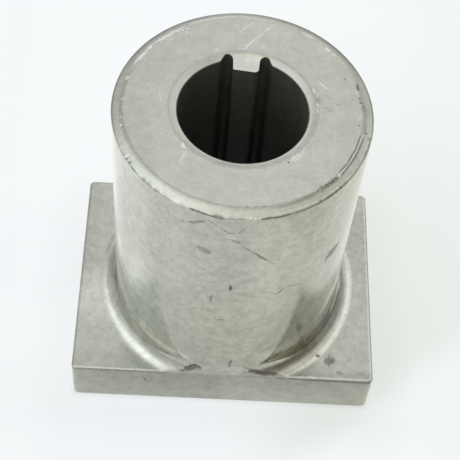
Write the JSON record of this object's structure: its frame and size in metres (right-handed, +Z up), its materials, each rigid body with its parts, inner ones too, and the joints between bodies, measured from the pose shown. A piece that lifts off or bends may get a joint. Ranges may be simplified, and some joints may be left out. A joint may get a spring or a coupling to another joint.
{
  "type": "mower blade adapter",
  "caption": "Bored round steel hub with an integral key and a rectangular blade flange at its foot, which turns a mower blade with the crankshaft.",
  "frame": {"origin": "on the bore's axis, in the plane of the flange's underside", "axes": "+Z up the bore's axis towards the hub's top face, +X along the flange's length, +Y towards the side of the bore that holds the key"},
  "size_m": [0.0586, 0.0446, 0.0654],
  "materials": {
    "steel": "tumbled light grey steel, semi-gloss, with handling scratches, nicks along the edges and a few stains"
  },
  "bodies": {
    "root": {"adapter_body": "steel"}
  },
  "joints": []
}
